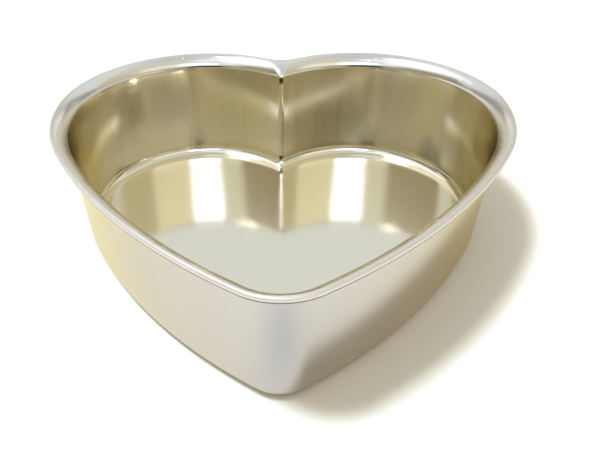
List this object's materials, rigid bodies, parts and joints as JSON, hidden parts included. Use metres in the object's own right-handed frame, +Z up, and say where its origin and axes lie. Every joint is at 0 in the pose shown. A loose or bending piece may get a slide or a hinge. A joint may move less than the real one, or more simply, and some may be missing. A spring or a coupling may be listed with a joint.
{
  "type": "heart cake tin",
  "caption": "Heart-shaped cake tin: a drawn aluminium pan with a flared, curled rim over a stiffening wire; holds cake batter in the oven.",
  "frame": {"origin": "on the table plane, under the middle of the tin's overall width and length", "axes": "+Z up out of the tin's mouth, +Y from the tip towards the cleft, X across the two lobes"},
  "size_m": [0.189, 0.1828, 0.0515],
  "materials": {
    "anodised_aluminium": "bright drawn and clear anodised, faint warm tint",
    "galvanised_wire": "galvanised round wire"
  },
  "bodies": {
    "root": {"drawn_pan": "anodised_aluminium", "rim_wire": "galvanised_wire"}
  },
  "joints": []
}
